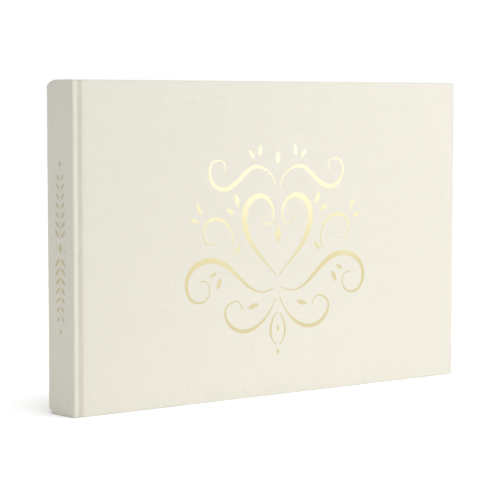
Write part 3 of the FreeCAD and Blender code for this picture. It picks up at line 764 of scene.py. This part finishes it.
def striped_band(node, name):
    """A headband: silk over a core, ribbed by its stripes, with a tab along the back of the block."""
    low, high = millimetres(node)
    head = high.z > HEIGHT / 2
    bead = (high.x - low.x) / 2
    centre_x = low.x + bead
    centre_z = high.z - bead if head else low.z + bead
    tab_end = low.z if head else high.z
    up = 1 if head else -1
    tab = millimetres("mull")[0].x
    thick = fold_low.x - tab
    shape = bmesh.new()
    rows, uvs = [], []
    slice_width = 0.14
    count = int((high.y - low.y) / slice_width)
    for i in range(count + 1):
        y = low.y + (high.y - low.y) * i / count
        swell = 0.90 + 0.10 * math.sqrt(abs(math.sin(math.pi * y / BAND_STRIPE)))
        end = 1 - 0.25 * smooth_step(abs(y), high.y - 0.4, high.y)
        r = bead * swell * end
        outline = [(tab, tab_end), (tab, centre_z - up * 0.2)]
        for turn in spread(math.pi, -math.pi / 2, 15):
            outline.append((centre_x + r * math.cos(turn), centre_z + up * r * math.sin(turn)))
        outline += [(tab + thick, centre_z - up * (bead + 0.1)), (tab + thick, tab_end), (tab, tab_end)]
        rows.append([(x, y, z) for x, z in outline])
        uvs.append([(y, k * 0.3) for k in range(len(outline))])
    made = add_grid(shape, rows, uvs)
    for ring in (made[0], made[-1]):
        shape.faces.new(ring[:-1])
    piece = finish_mesh(name, shape, silk)
    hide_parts(node)
    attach(piece, "case_spine")


# --- putting it together -------------------------------------------------------------------------------

spine_card()
for side in (FRONT, BACK):
    case_cloth(side)
    pasted_endpaper(side)
    free_endpaper(side)
for number in range(1, SIGNATURES + 1):
    for half in ("front", "back"):
        half_signature(number, half)
striped_band("headband", "head_silk_band")
striped_band("tailband", "tail_silk_band")

CAD_MATERIALS = {
    "front_board": grey_board,
    "back_board": grey_board,
    "spine_lining": kraft,
    "mull": gauze,
    "front_mull_flange": gauze,
    "back_mull_flange": gauze,
    "sewing_thread": linen,
    "front_foil_ornament": cover_foil,
    "spine_foil_ornament": spine_foil,
}
for node, material in CAD_MATERIALS.items():
    nodes[node].data.materials.clear()
    nodes[node].data.materials.append(material)

# --- floor, light and camera ---------------------------------------------------------------------------


def floor():
    """A plain white floor, just under the book so that their faces don't coincide."""
    shape = bmesh.new()
    reach = 3000.0
    level = -0.02
    ticks = spread(-reach, reach, 5)
    points = [[(x, y, level) for y in ticks] for x in ticks]
    add_grid(shape, points, [[(p[0], p[1]) for p in line] for line in points])
    piece = finish_mesh("floor", shape, floor_material(), lambda made: next(iter(made.faces)).normal.z > 0)


def soft_light(name, place, target, width, height, power, fan=180.0):
    """A softbox. fan is how widely it spreads, in degrees, as a grid in front of it would narrow it."""
    data = bpy.data.lights.new(name, "AREA")
    data.shape = "RECTANGLE"
    data.size, data.size_y = width, height
    data.energy = power
    data.spread = math.radians(fan)
    light = bpy.data.objects.new(name, data)
    light.location = place
    light.rotation_euler = (Vector(target) - Vector(place)).to_track_quat("-Z", "Y").to_euler()
    bpy.context.scene.collection.objects.link(light)


def white_world(seen, lighting):
    """Even white behind the book, and a dimmer even light from all round it."""
    world = bpy.data.worlds.new("studio")
    world.use_nodes = True
    tree = world.node_tree
    back = tree.nodes["Background"]
    back.inputs["Color"].default_value = (1, 1, 1, 1)
    path = tree.nodes.new("ShaderNodeLightPath")
    mix = tree.nodes.new("ShaderNodeMix")
    tree.links.new(path.outputs["Is Camera Ray"], mix.inputs["Factor"])
    mix.inputs[2].default_value = lighting
    mix.inputs[3].default_value = seen
    tree.links.new(mix.outputs[0], back.inputs["Strength"])
    bpy.context.scene.world = world


def camera():
    """To the left of the front cover, nearly as high as the book's head, tipped down by four degrees."""
    data = bpy.data.cameras.new("camera")
    data.lens = 142.96
    data.sensor_width = 36.0
    data.clip_start, data.clip_end = 0.01, 20.0
    eye = bpy.data.objects.new("camera", data)
    eye.location = (-0.6157, -0.7469, 0.1401)
    eye.rotation_euler = Vector((0.62896, 0.77407, -0.07233)).to_track_quat("-Z", "Y").to_euler()
    bpy.context.scene.collection.objects.link(eye)
    bpy.context.scene.camera = eye


def high_sun(direction, strength, spread_angle):
    """An even light from high up, as soft as a large overhead diffuser."""
    data = bpy.data.lights.new("overhead", "SUN")
    data.energy = strength
    data.angle = spread_angle
    light = bpy.data.objects.new("overhead", data)
    light.rotation_euler = Vector(direction).to_track_quat("-Z", "Y").to_euler()
    bpy.context.scene.collection.objects.link(light)


floor()
camera()
white_world(seen=1.0, lighting=0.15)
high_sun(direction=(0.0, 0.20, -0.98), strength=3.2, spread_angle=0.9)
soft_light("key", place=(0.62, -0.66, 0.36), target=(0.17, 0.0, 0.24), width=0.6, height=0.4, power=0.50,
           fan=60.0)
soft_light("fill_behind", place=(0.35, 0.95, 0.80), target=(0.0, 0.0, 0.08), width=0.5, height=0.5, power=1.6)
bpy.context.scene.view_settings.view_transform = "Standard"
